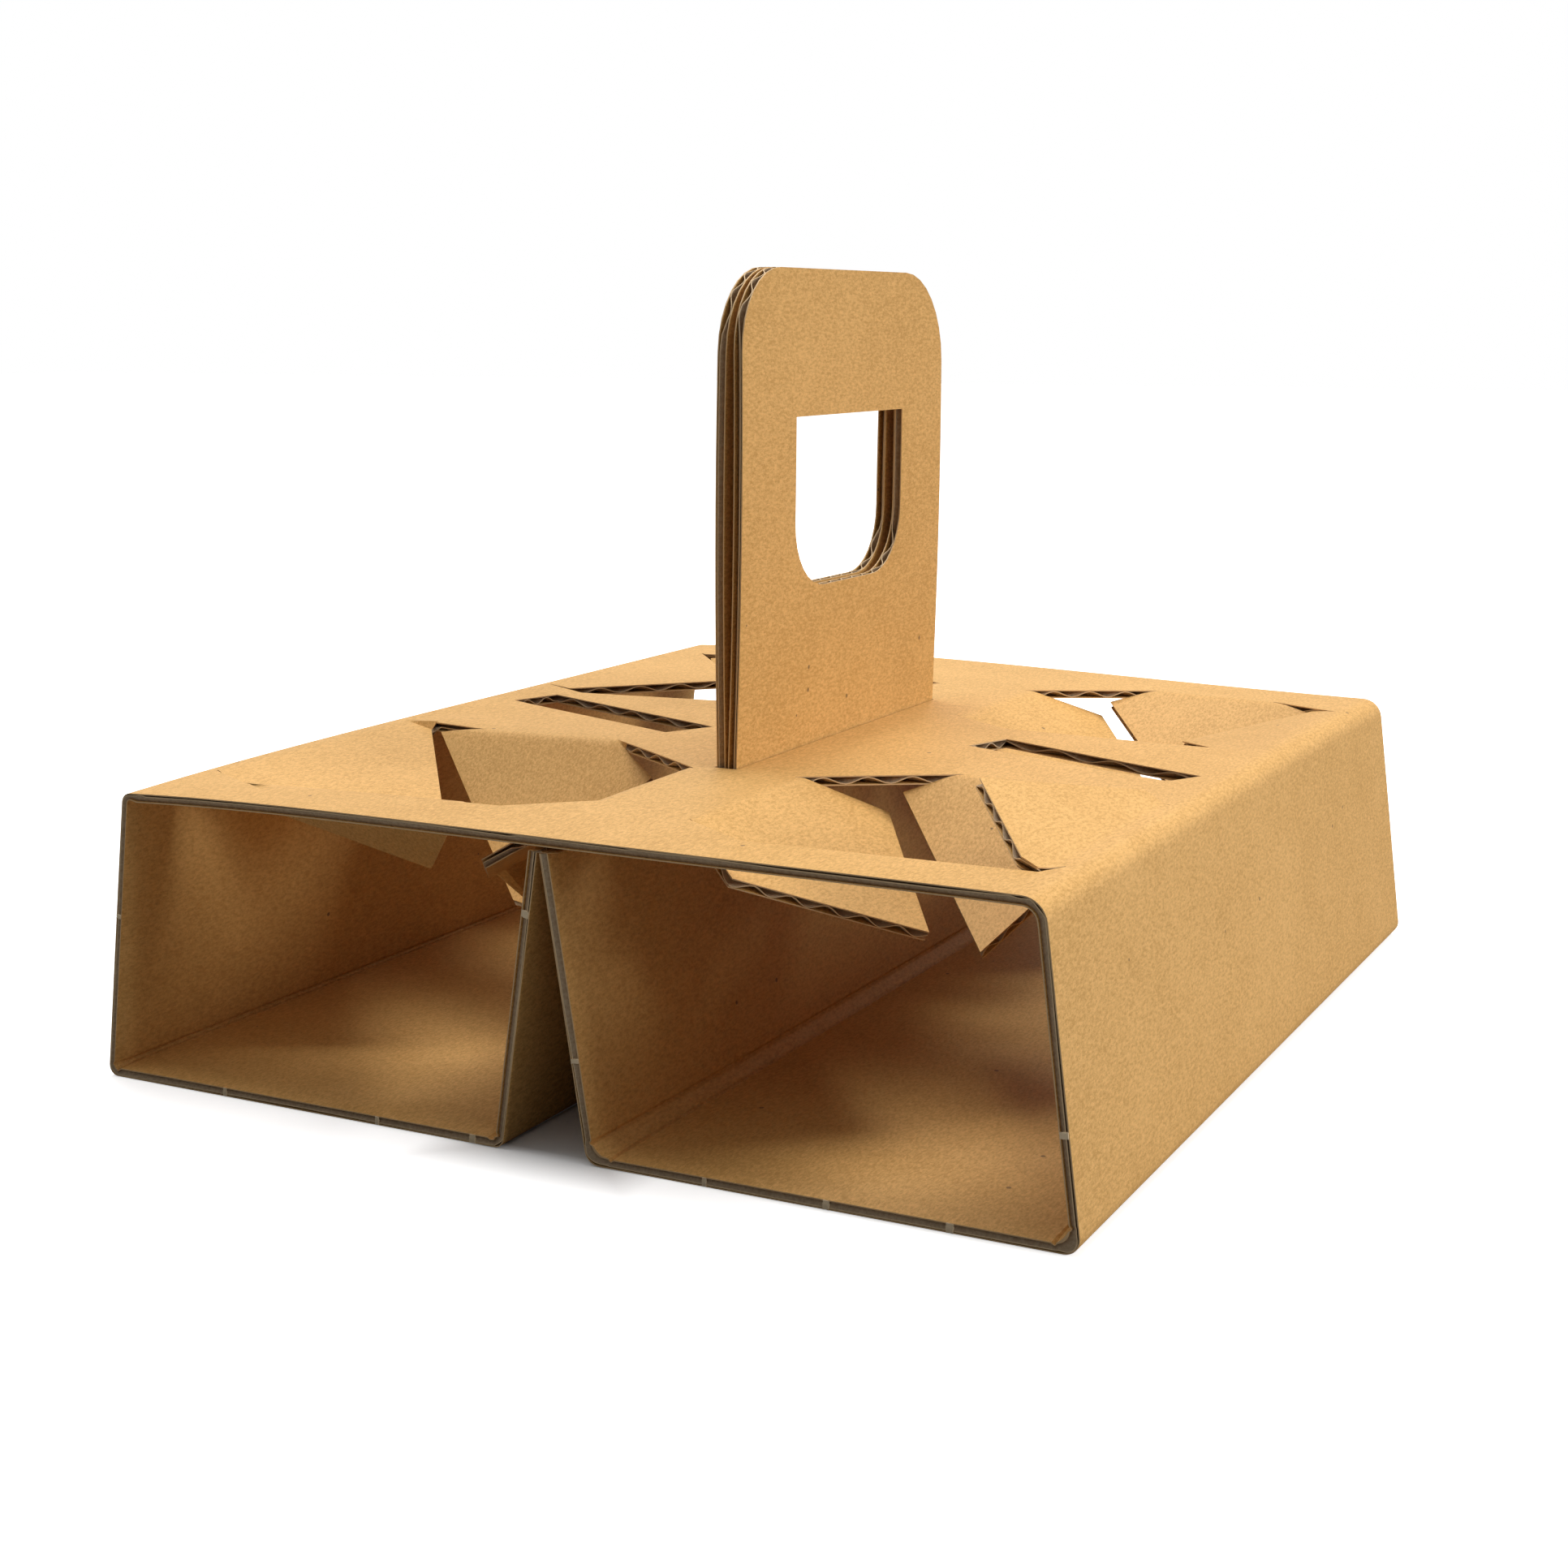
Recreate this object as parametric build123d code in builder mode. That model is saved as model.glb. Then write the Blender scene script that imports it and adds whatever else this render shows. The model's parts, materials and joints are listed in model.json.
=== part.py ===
"""Folded cup carrier for four cups, made from one die-cut sheet of corrugated board.

Frame: X across the two tubes, Y from the front opening to the back, Z up.
The origin is on the floor under the middle of the top panel. Units are millimetres.

One sheet is folded into two open tubes that share an unbroken top panel. The two inner
walls lean together, and their middle parts go on up through a slot in the top panel as
the two plies of the handle. Cup openings are cut as flaps that hang into the tubes.
"""
from build123d import *
import math
import os

os.makedirs("parts", exist_ok=True)

# Sheet and folded sizes
board = 2.4              # thickness of the corrugated board
top_width = 230.0        # top panel across, outside of fold to outside of fold
depth = 276.0            # front cut edge to back cut edge
height = 71.0            # floor to the upper face of the top panel
foot_out = 9.7           # how far each outer wall leans out at the floor
foot_left = -11.3        # X of the left tube's inner foot
foot_right = 12.6        # X of the right tube's inner foot
fold_left = 3.2          # outside radius of the crisp left top fold
fold_right = 5.6         # outside radius of the softer right top fold
fold_foot = 3.4          # outside radius of the folds at the floor
shoulder_gap = 1.0       # inner walls' shoulders stop this far under the top panel

# Handle
handle_x = 2.6           # centre line of the two plies
ply_gap = 0.5            # daylight between the plies where they pass the top panel
lean_left = 1.2          # how far each ply's top has moved towards +X
lean_right = 2.3
handle_front = -57.5     # front and back edges of the handle
handle_back = 60.5
handle_rise = 120.6      # above the top panel
corner_front = 20.0      # radius of the front top corner
corner_back = 24.0       # radius of the back top corner
grip_front = -29.4       # hand hole, flat at the top and rounded below
grip_back = 33.4
grip_low = 41.0          # above the top panel
grip_high = 84.3
grip_corner = 17.0
slot_play = 0.5          # round the plies where they pass the top panel

# Openings and windows are drawn on a panel of this size and follow the panel from there
drawn_width = 230.0
drawn_depth = 276.0
fold_margin = 4.2        # outer flaps fold no nearer the top fold than this
kerf = 0.6               # die-cut gap between a flap and its neighbour

# Cup openings: eight-sided, one pattern for the left pair and one for the right pair
left_x = -63.0
right_x = 67.0
row_y = 75.0
octagons = {
    "left": [(-52.0, -32.0), (-52.0, 43.0), (-21.0, 40.5), (20.6, 40.5),
             (58.5, 14.0), (58.5, -27.0), (40.0, -42.0), (-30.0, -45.0)],
    "right": [(-45.0, -27.0), (-45.0, 16.0), (-12.0, 39.5), (23.0, 39.5),
              (48.0, 29.0), (48.0, -26.0), (39.0, -43.4), (-25.0, -47.6)],
}
# Flaps: the point that each one reaches, then where the cross cuts leave the opening's sides
crosses = {
    "left": {"tip_a": (5.5, -14.0), "tip_rear": (14.5, -13.5), "tip_b": (15.2, -14.2),
             "tip_front": (9.5, -18.0), "end_a": (-37.5, 41.2), "bl": (-33.0, 37.5),
             "br": (37.0, 28.6), "fr": (31.0, -42.3), "fl": (-37.0, -40.8)},
    "right": {"tip_a": (8.0, -12.8), "tip_rear": (11.3, -14.4), "tip_b": (11.9, -15.0),
              "end_a": (-24.5, 30.5), "bl": (-24.5, 30.5),
              "br": (35.0, 34.5), "fr": (37.0, -43.5), "fl": (-25.0, -47.6)},
}

# How far each flap has been pushed down, in degrees; below zero it stands proud
flap_angles = {
    "front_left": {"side_a": 7.0, "rear": 39.5, "side_b": 24.5, "front": 45.0},
    "front_right": {"side_a": 27.0, "rear": 34.0, "side_b": -17.0},
    "back_left": {"side_a": 22.0, "rear": 30.0, "side_b": 20.0},
    "back_right": {"side_a": 23.5, "rear": 27.0, "side_b": 9.0},
}
centres = {
    "front_left": (left_x, -row_y), "front_right": (right_x, -row_y),
    "back_left": (left_x, row_y), "back_right": (right_x, row_y),
}

# Two slanted windows between the front and back openings
windows = [
    [(-103.2, 10.0), (-97.7, 24.0), (-28.5, -7.8), (-35.6, -20.6)],
    [(42.0, -0.5), (46.8, 13.6), (105.5, -7.4), (100.2, -17.2)],
]

# Room that the cutting and trimming shapes are given past the board
cut_above = 1.0
cut_below = 0.2
trim_below = 40.0
trim_aside = 30.0
root_share = 0.3         # part of each inner wall that its handle ply repeats, from the top
same = 1e-6

half_top = top_width / 2
half_depth = depth / 2
hinge_line = half_top - fold_margin
slot_half = ply_gap / 2 + board + slot_play


def placed(points):
    """Points of the drawn pattern, stretched between the handle slot and the outer folds."""
    drawn_line = drawn_width / 2 - fold_margin
    out = []
    for x, y in points:
        slot_side = handle_x + math.copysign(slot_half, x)
        hinge_side, drawn_side = math.copysign(hinge_line, x), math.copysign(drawn_line, x)
        stretch = (hinge_side - slot_side) / (drawn_side - slot_side)
        out.append((slot_side + (x - slot_side) * stretch, y * depth / drawn_depth))
    return out


def shifted(points, amount):
    """The open line through the points, moved sideways by amount, with sharp corners."""
    rows = []
    for (x0, z0), (x1, z1) in zip(points, points[1:]):
        length = math.hypot(x1 - x0, z1 - z0)
        nx, nz = -(z1 - z0) / length * amount, (x1 - x0) / length * amount
        rows.append(((x0 + nx, z0 + nz), (x1 + nx, z1 + nz)))
    out = [rows[0][0]]
    for (p, q), (r, s) in zip(rows, rows[1:]):
        dx, dz, ex, ez = q[0] - p[0], q[1] - p[1], s[0] - r[0], s[1] - r[1]
        t = ((r[0] - p[0]) * ez - (r[1] - p[1]) * ex) / (dx * ez - dz * ex)
        out.append((p[0] + t * dx, p[1] + t * dz))
    return out + [rows[-1][1]]


def rounded(points, radii):
    """Lines and arcs along the points, each inner corner rounded by its radius."""
    start = points[0]
    for before, corner, after, r in zip(points, points[1:], points[2:], radii):
        ux, uz = before[0] - corner[0], before[1] - corner[1]
        vx, vz = after[0] - corner[0], after[1] - corner[1]
        lu, lv = math.hypot(ux, uz), math.hypot(vx, vz)
        ux, uz, vx, vz = ux / lu, uz / lu, vx / lv, vz / lv
        half = math.acos(max(-1.0, min(1.0, ux * vx + uz * vz))) / 2
        run = r / math.tan(half)
        a = (corner[0] + ux * run, corner[1] + uz * run)
        b = (corner[0] + vx * run, corner[1] + vz * run)
        mx, mz = ux + vx, uz + vz
        lm = math.hypot(mx, mz)
        reach = r / math.sin(half) - r
        m = (corner[0] + mx / lm * reach, corner[1] + mz / lm * reach)
        Line(start, a)
        ThreePointArc(a, m, b)
        start = b
    Line(start, points[-1])


def strip(points, outer_radii):
    """Board of constant thickness along the folded line, on its right-hand side.

    A fold that turns towards the board is rounded on its outside by the radius, and by
    the radius less the board inside; a fold that turns away is rounded the other way.
    """
    inner = shifted(points, -board)
    near, far = [], []
    for before, corner, after, r in zip(points, points[1:], points[2:], outer_radii):
        turn = ((corner[0] - before[0]) * (after[1] - corner[1])
                - (corner[1] - before[1]) * (after[0] - corner[0]))
        near.append(r if turn < 0 else r - board)
        far.append(r - board if turn < 0 else r)
    rounded(points, near)
    rounded(inner, far)
    Line(points[0], inner[0])
    Line(points[-1], inner[-1])


def inset(points, amount):
    """The flap outline with every side but the first, its hinge, drawn in by amount."""
    n = len(points)
    area = sum(points[i][0] * points[(i + 1) % n][1] - points[(i + 1) % n][0] * points[i][1]
               for i in range(n))
    sign = 1.0 if area > 0 else -1.0
    sides = []
    for i in range(n):
        (x0, y0), (x1, y1) = points[i], points[(i + 1) % n]
        length = math.hypot(x1 - x0, y1 - y0)
        move = 0.0 if i == 0 else amount
        nx, ny = -(y1 - y0) / length * move * sign, (x1 - x0) / length * move * sign
        sides.append((x0 + nx, y0 + ny, x1 - x0, y1 - y0))
    out = []
    for i in range(n):
        px, py, dx, dy = sides[i - 1]
        rx, ry, ex, ey = sides[i]
        t = ((rx - px) * ey - (ry - py) * ex) / (dx * ey - dy * ex)
        out.append((px + t * dx, py + t * dy))
    return out


def clip_x(points, low, high):
    """The closed outline cut off at two values of X."""
    for bound, keep in ((low, 1.0), (high, -1.0)):
        out = []
        for p, q in zip(points, points[1:] + points[:1]):
            inside_p, inside_q = (p[0] - bound) * keep >= 0, (q[0] - bound) * keep >= 0
            if inside_p:
                out.append(p)
            if inside_p != inside_q:
                t = (bound - p[0]) / (q[0] - p[0])
                out.append((bound, p[1] + t * (q[1] - p[1])))
        points = out
    return points


def on_panel(name, points):
    """Pattern points of one opening, put in their place on the top panel."""
    cx, cy = centres[name]
    return placed([(x + cx, y + cy) for x, y in points])


def opening_outline(name):
    corners = on_panel(name, octagons[name.split("_")[1]])
    return clip_x(corners, -hinge_line, hinge_line)


def flap_outlines(name):
    """Flat outlines of one opening's flaps, clockwise; the first side is the hinge."""
    edge = opening_outline(name)
    low, high = min(p[0] for p in edge), max(p[0] for p in edge)
    left_side = sorted(p[1] for p in edge if abs(p[0] - low) < same)
    right_side = sorted(p[1] for p in edge if abs(p[0] - high) < same)
    cross = crosses[name.split("_")[1]]
    at = dict(zip(cross, on_panel(name, cross.values())))
    corners = on_panel(name, octagons[name.split("_")[1]])
    rear_left, rear_right, front_right, front_left = corners[2], corners[3], corners[6], corners[7]
    outlines = {
        "side_a": [(low, left_side[0]), (low, left_side[-1]), at["end_a"], at["tip_a"], at["fl"]],
        "side_b": [(high, right_side[-1]), (high, right_side[0]), front_right,
                   at["fr"], at["tip_b"], at["br"]],
        "rear": [rear_left, rear_right, at["br"], at["tip_rear"], at["bl"]],
    }
    if "tip_front" in at:
        outlines["front"] = [at["fr"], front_left, at["fl"], at["tip_front"]]
    return outlines


# Heights above are given from the top panel; the frame stands on the floor
z_top = height
body_line = [
    (handle_x + ply_gap / 2, z_top - board - shoulder_gap),
    (foot_right, 0.0),
    (half_top + foot_out, 0.0),
    (half_top, z_top),
    (-half_top, z_top),
    (-half_top - foot_out, 0.0),
    (foot_left, 0.0),
    (handle_x - ply_gap / 2, z_top - board - shoulder_gap),
]
# the line runs so that the board lies on its right-hand side when reversed
body_line.reverse()
body_radii = [fold_foot, fold_foot, fold_left, fold_right, fold_foot, fold_foot]


def ply_line(side):
    """Handle ply and the upper part of the inner wall below it."""
    x = handle_x + side * ply_gap / 2
    z = z_top - board - shoulder_gap
    foot = foot_right if side > 0 else foot_left
    lean = lean_right if side > 0 else lean_left
    low = (x + (foot - x) * root_share, z - z * root_share)
    line = [(x + lean, z_top + handle_rise + cut_above), (x, z), low]
    return line if side < 0 else line[::-1]


with BuildPart() as carrier:
    with BuildSketch(Plane.XZ):
        with BuildLine():
            strip(body_line, body_radii)
        make_face()
    extrude(amount=half_depth, both=True)

    # slot that lets the plies through the top panel
    with BuildSketch(Plane.XY.offset(z_top + cut_above)):
        with Locations((handle_x, (handle_front + handle_back) / 2)):
            Rectangle(2 * slot_half, handle_back - handle_front + 2 * slot_play)
    extrude(amount=-(cut_above + board + cut_below), mode=Mode.SUBTRACT)

    # slanted windows, then cup openings
    holes = [placed(window) for window in windows] + [opening_outline(name) for name in centres]
    for hole in holes:
        with BuildSketch(Plane.XY.offset(z_top + cut_above)):
            with BuildLine():
                Polyline(*hole, close=True)
            make_face()
        extrude(amount=-(cut_above + board + cut_below), mode=Mode.SUBTRACT)

# Handle plies: the folded strip, trimmed to the handle's outline and hand hole
with BuildPart() as plies:
    for side in (-1, 1):
        with BuildSketch(Plane.XZ.offset(-handle_back)):
            with BuildLine():
                strip(ply_line(side), [fold_foot])
            make_face()
        extrude(amount=handle_back - handle_front)
    with BuildSketch(Plane.YZ.offset(handle_x)):
        middle = (handle_front + handle_back) / 2
        width = handle_back - handle_front
        with Locations((middle, z_top + (handle_rise - trim_below) / 2)):
            Rectangle(width, handle_rise + trim_below)
        corners = vertices().group_by(Axis.Y)[-1].sort_by(Axis.X)
        fillet(corners[0], corner_front)
        corners = vertices().group_by(Axis.Y)[-1].sort_by(Axis.X)
        fillet(corners[-1], corner_back)
        with BuildLine():
            y0, y1 = grip_front, grip_back
            z0, z1, r = z_top + grip_low, z_top + grip_high, grip_corner
            k = r * (1 - math.sqrt(0.5))
            Polyline((y0, z0 + r), (y0, z1), (y1, z1), (y1, z0 + r))
            ThreePointArc((y1, z0 + r), (y1 - k, z0 + k), (y1 - r, z0))
            Line((y1 - r, z0), (y0 + r, z0))
            ThreePointArc((y0 + r, z0), (y0 + k, z0 + k), (y0, z0 + r))
        make_face(mode=Mode.SUBTRACT)
    extrude(amount=trim_aside, both=True, mode=Mode.INTERSECT)

# Flaps: flat plates turned about their hinge lines
flaps = []
for name, angles in flap_angles.items():
    outlines = flap_outlines(name)
    for key, angle in angles.items():
        outline = inset(outlines[key], kerf)
        (hx0, hy0), (hx1, hy1) = outline[0], outline[1]
        pivot = z_top if angle >= 0 else z_top - board
        with BuildPart() as flap:
            with BuildSketch(Plane.XY.offset(z_top)):
                with BuildLine():
                    Polyline(*outline, close=True)
                make_face()
            extrude(amount=-board)
        hinge = Axis((hx0, hy0, pivot), (hx1 - hx0, hy1 - hy0, 0))
        flaps.append(flap.part.rotate(hinge, angle))

with carrier:
    add(plies.part)
    for one in flaps:
        add(one)

carrier.part.label = "carrier"
export_step(carrier.part, "parts/carrier.step")

box = carrier.part.bounding_box()
print("size", round(box.size.X, 2), round(box.size.Y, 2), round(box.size.Z, 2))
print("low", [round(v, 2) for v in (box.min.X, box.min.Y, box.min.Z)])
print("solids", len(carrier.part.solids()), "valid", carrier.part.is_valid)
print("volume_cm3", round(carrier.part.volume / 1000, 1))
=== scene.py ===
# %% [markdown]
# # A folded cup carrier in corrugated kraft board
# This lesson dresses a drinks carrier that was folded from one die-cut sheet. The solid from
# CAD gives its size and place. What it can't show is the board itself: two paper liners with
# a wavy sheet of paper, the flutes, glued between them. Wherever the board is cut, those
# flutes are open to view, so they are modelled as real paper and not as a stripe of colour.

# %% Load the frame
import json
import math

import bmesh
import bpy
import numpy as np
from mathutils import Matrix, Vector

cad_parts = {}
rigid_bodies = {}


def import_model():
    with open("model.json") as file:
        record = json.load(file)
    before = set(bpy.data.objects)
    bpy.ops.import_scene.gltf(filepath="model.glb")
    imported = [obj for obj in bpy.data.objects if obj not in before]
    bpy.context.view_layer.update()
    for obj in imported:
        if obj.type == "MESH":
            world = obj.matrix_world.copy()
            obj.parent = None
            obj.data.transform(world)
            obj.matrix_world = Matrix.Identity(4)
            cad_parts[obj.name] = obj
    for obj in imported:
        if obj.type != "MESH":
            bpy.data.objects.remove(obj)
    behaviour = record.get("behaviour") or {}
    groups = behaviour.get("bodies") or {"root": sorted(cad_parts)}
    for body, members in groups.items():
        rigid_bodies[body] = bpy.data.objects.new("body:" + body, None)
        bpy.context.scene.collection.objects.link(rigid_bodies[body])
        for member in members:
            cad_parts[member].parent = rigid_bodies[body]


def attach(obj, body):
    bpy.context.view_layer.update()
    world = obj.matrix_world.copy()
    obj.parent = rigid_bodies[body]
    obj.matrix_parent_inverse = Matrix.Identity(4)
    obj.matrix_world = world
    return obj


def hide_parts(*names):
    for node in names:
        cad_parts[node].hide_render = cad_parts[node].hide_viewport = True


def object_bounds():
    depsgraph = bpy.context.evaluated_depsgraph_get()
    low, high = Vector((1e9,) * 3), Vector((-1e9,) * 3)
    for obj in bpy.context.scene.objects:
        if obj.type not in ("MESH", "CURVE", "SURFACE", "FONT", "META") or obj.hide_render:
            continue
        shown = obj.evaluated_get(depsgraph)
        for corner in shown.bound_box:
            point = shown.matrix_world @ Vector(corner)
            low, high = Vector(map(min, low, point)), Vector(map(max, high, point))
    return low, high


for leftover in list(bpy.data.objects):      # a factory start has a cube, a lamp and a camera
    bpy.data.objects.remove(leftover)
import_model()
cad_box = [list(corner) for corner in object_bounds()]
MM = 0.001
print("CAD box in mm:", [[round(v / MM, 1) for v in corner] for corner in cad_box])

# %% [markdown]
# ## The folded line
# Seen from the front, the sheet is one line: down the left handle ply and inner wall, round
# the left tube, across the top, round the right tube and up the other ply. Everything else
# is drawn on the flat sheet, with s along this line and y from front to back, and one
# function folds it. That is how the real carrier is made, and it keeps every cut straight.

# %% Sizes of the sheet and of its folds, in millimetres
box_low, box_high = [Vector(corner) / MM for corner in cad_box]
nick_reach = 0.3                             # torn nicks stand this far out of the cut edges
half_depth = (box_high.y - box_low.y) / 2 - nick_reach
board = 2.4
height = 71.0
half_top = 115.0
foot_out = box_high.x - half_top
foot_left, foot_right = -11.3, 12.6
handle_x, ply_gap = 2.6, 0.5
handle_top = box_high.z
lean_left, lean_right = 1.2, 2.3
shoulder = height - board - 1.0
fold_left, fold_right, fold_foot, fold_sharp = 2.5, 5.6, 3.4, 2.5

corners = [
    (handle_x - ply_gap / 2 + lean_left, handle_top),
    (handle_x - ply_gap / 2, shoulder),
    (foot_left, 0.0),
    (-half_top - foot_out, 0.0),
    (-half_top, height),
    (half_top, height),
    (half_top + foot_out, 0.0),
    (foot_right, 0.0),
    (handle_x + ply_gap / 2, shoulder),
    (handle_x + ply_gap / 2 + lean_right, handle_top),
]
radii = [fold_foot, fold_sharp, fold_sharp, fold_left, fold_right, fold_foot, fold_foot, fold_foot]
print("Corners of the line:", len(corners), "of which", len(radii), "are folds")


# %% Round the corners into folds
def corner_arc(before, corner, after, radius, steps):
    """The centre of the arc that rounds a corner, and unit arms from it along the arc."""
    c = Vector(corner)
    a, b = (Vector(before) - c).normalized(), (Vector(after) - c).normalized()
    half = a.angle(b) / 2
    centre = c + (a + b).normalized() * radius / math.sin(half)
    start, end = c + a * radius / math.tan(half), c + b * radius / math.tan(half)
    first, last = (start - centre).normalized(), (end - centre).normalized()
    return centre, [first.slerp(last, k / steps) for k in range(steps + 1)]


def fold_line(points, rounds, steps):
    """Stations along the rounded line: length so far, x, z and the way into the board."""
    places = []
    for before, corner, after, radius in zip(points, points[1:], points[2:], rounds):
        centre, arms = corner_arc(before, corner, after, radius, steps)
        if not places:
            places.append((Vector(before), -arms[0]))
        places += [(centre + arm * radius, -arm) for arm in arms]
    places.append((Vector(points[-1]), places[-1][1]))
    rows, s = [], 0.0
    for i, (place, inward) in enumerate(places):
        s += (place - places[i - 1][0]).length if i else 0.0
        rows.append((s, place.x, place.y, inward.x, inward.y))
    return np.array(rows)


fold_steps = 8
stations = fold_line(corners, radii, fold_steps)
folds = [(stations[1 + i * (fold_steps + 1), 0], stations[(i + 1) * (fold_steps + 1), 0])
         for i in range(len(radii))]
print("Sheet:", round(stations[-1, 0]), "mm along the folds,", round(2 * half_depth), "mm deep")

# %% [markdown]
# ## Where a point of the top panel lies on the flat sheet
# Cuts in the top panel are easiest to write in x and y, seen from above. The panel is flat
# between its two folds, so one shift turns x into s. The handle plies use the height above
# the floor instead, because they stand upright.

# %% Helpers from part places to sheet places
top_start, top_end = folds[3][1], folds[4][0]
top_start_x = float(np.interp(top_start, stations[:, 0], stations[:, 1]))
left_shoulder, right_shoulder = sum(folds[0]) / 2, sum(folds[7]) / 2


def on_top(outline):
    """Points (x, y) of the top panel as (s, y) of the sheet."""
    return [(top_start + x - top_start_x, y) for x, y in outline]


def on_ply(outline, side):
    """Points (y, z) of a handle ply as (s, y) of the sheet; side is -1 left, 1 right."""
    end = left_shoulder if side < 0 else right_shoulder
    length = left_shoulder if side < 0 else stations[-1, 0] - right_shoulder
    scale = length / (handle_top - shoulder)
    return [(end + side * (z - shoulder) * scale, y) for y, z in outline]


print("Top panel from s =", round(top_start, 1), "to", round(top_end, 1))

# %% [markdown]
# ## The die's cuts
# A die cuts every opening in one stroke. The cup openings are eight-sided, crossed by cuts
# that leave hinged flaps: one on each side, one at the rear and, at the front left, one that
# folds in from the front edge. Two slanted windows lie between the openings, and the handle
# has a hand hole that is flat at its top and rounded below. Each is written as an outline,
# because an outline can be moved, cut off at a fold and cut along, all with short helpers.

# %% Outlines of the cup openings, from their centres
left_x, right_x, row_y = -63.0, 67.0, 75.0
hinge_inset = 4.2
hinge_left, hinge_right = half_top - hinge_inset, half_top - fold_right
octagons = {
    "left": [(-52.0, -32.0), (-52.0, 43.0), (-21.0, 40.5), (20.6, 40.5),
             (58.5, 14.0), (58.5, -27.0), (40.0, -42.0), (-30.0, -45.0)],
    "right": [(-45.0, -35.5), (-45.0, 16.0), (-12.0, 39.5), (23.0, 39.5),
              (48.0, 29.0), (48.0, -26.0), (39.0, -43.4), (-26.0, -47.4)],
}
# side_a is the flap hinged at the left and side_b the one at the right; f is front, b is back
crosses = {
    "left": {"tip_a": (5.5, -14.0), "tip_rear": (14.5, -13.5), "tip_b": (11.4, -16.4),
             "tip_front": (9.4, -15.8), "end_a": (-37.5, 41.2), "bl": (-33.0, 37.5),
             "br": (37.0, 28.6), "fr": (31.0, -42.3), "fl": (-37.0, -40.8)},
    "right": {"tip_a": (9.0, -12.8), "tip_rear": (11.3, -14.4), "tip_b": (11.9, -15.0),
              "end_a": (-24.5, 30.5), "bl": (-24.5, 30.5),
              "br": (35.0, 34.5), "fr": (34.5, -42.8), "fl": (-26.0, -47.4)},
}
centres = {
    "front_left": (left_x, -row_y), "front_right": (right_x, -row_y),
    "back_left": (left_x, row_y), "back_right": (right_x, row_y),
}
print("Corners of the octagons:", {side: len(ring) for side, ring in octagons.items()})

# %% How far each flap is turned, in degrees, and how much more it curls per 10 mm
flap_bends = {                               # a flap with a minus stands up, the others go down
    "front_left": {"side_a": (9.5, 0.2), "rear": (43.0, 0.5), "side_b": (30.0, 0.0), "front": (50.0, 0.0)},
    "front_right": {"side_a": (29.5, -0.6), "rear": (34.5, 0.3), "side_b": (-24.0, 0.0)},
    "back_left": {"side_a": (-1.5, 0.0), "rear": (30.0, 0.0), "side_b": (20.0, 0.0)},
    "back_right": {"side_a": (23.5, 0.0), "rear": (27.0, 0.0), "side_b": (9.0, 0.0)},
}
bend_run, bend_cuts = 3.0, 3                 # length over which a scored hinge turns, in 3 facets
print("Flaps:", sum(len(bends) for bends in flap_bends.values()))


# %% Helpers for outlines
def clip_x(points, low, high):
    """The closed outline cut off at two values of x."""
    for bound, keep in ((low, 1.0), (high, -1.0)):
        out = []
        for p, q in zip(points, points[1:] + points[:1]):
            inside_p, inside_q = (p[0] - bound) * keep >= 0, (q[0] - bound) * keep >= 0
            if inside_p:
                out.append(p)
            if inside_p != inside_q:
                t = (bound - p[0]) / (q[0] - p[0])
                out.append((bound, p[1] + t * (q[1] - p[1])))
        points = out
    return points


def inset(points, amount):
    """A clockwise outline with every side but the first, its hinge, drawn in by amount."""
    lines = []
    for i, (p, q) in enumerate(zip(points, points[1:] + points[:1])):
        p, q = Vector(p), Vector(q)
        side = (q - p).normalized()
        inward = Vector((side.y, -side.x)) * (amount if i else 0.0)
        lines.append((p + inward, side))
    out = []
    for (p, a), (q, b) in zip(lines[-1:] + lines[:-1], lines):
        t = (q - p).cross(b) / a.cross(b)
        out.append(tuple(p + a * t))
    return out


print("Clipped test square:", clip_x([(0, 0), (0, 2), (2, 2), (2, 0)], 0.5, 1.5))

# %% The four openings with their flaps
kerf = 0.35                                  # width that the die's knife takes from a flap
same = 1e-6                                  # two places nearer than this are one


def opening(name):
    """Outline of one cup opening, and its flaps; each flap's first side is its hinge."""
    cx, cy = centres[name]
    side = name.split("_")[1]
    ring = [(x + cx, y + cy) for x, y in octagons[side]]
    outline = clip_x(ring, -hinge_left, hinge_right)
    low, high = min(p[0] for p in outline), max(p[0] for p in outline)
    on_low = sorted(p[1] for p in outline if abs(p[0] - low) < same)
    on_high = sorted(p[1] for p in outline if abs(p[0] - high) < same)
    at = {key: (x + cx, y + cy) for key, (x, y) in crosses[side].items()}
    flaps = {
        "side_a": [(low, on_low[0]), (low, on_low[-1]), at["end_a"], at["tip_a"], at["fl"]],
        "side_b": [(high, on_high[-1]), (high, on_high[0]), ring[6], at["fr"], at["tip_b"], at["br"]],
        "rear": [ring[2], ring[3], at["br"], at["tip_rear"], at["bl"]],
    }
    if "front" in flap_bends[name]:
        flaps["front"] = [at["fr"], ring[7], at["fl"], at["tip_front"]]
    return outline, {key: inset(flap, kerf) for key, flap in flaps.items()}


def hinge_of(flap):
    """Both ends of a flap's hinge, and the level direction from it into the flap."""
    start, end = Vector(flap[0]), Vector(flap[1])
    along = (end - start).normalized()
    return start, end, Vector((along.y, -along.x))


openings = {name: opening(name) for name in centres}
print("Openings:", {name: [len(f) for f in flaps.values()] for name, (o, flaps) in openings.items()})

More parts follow.
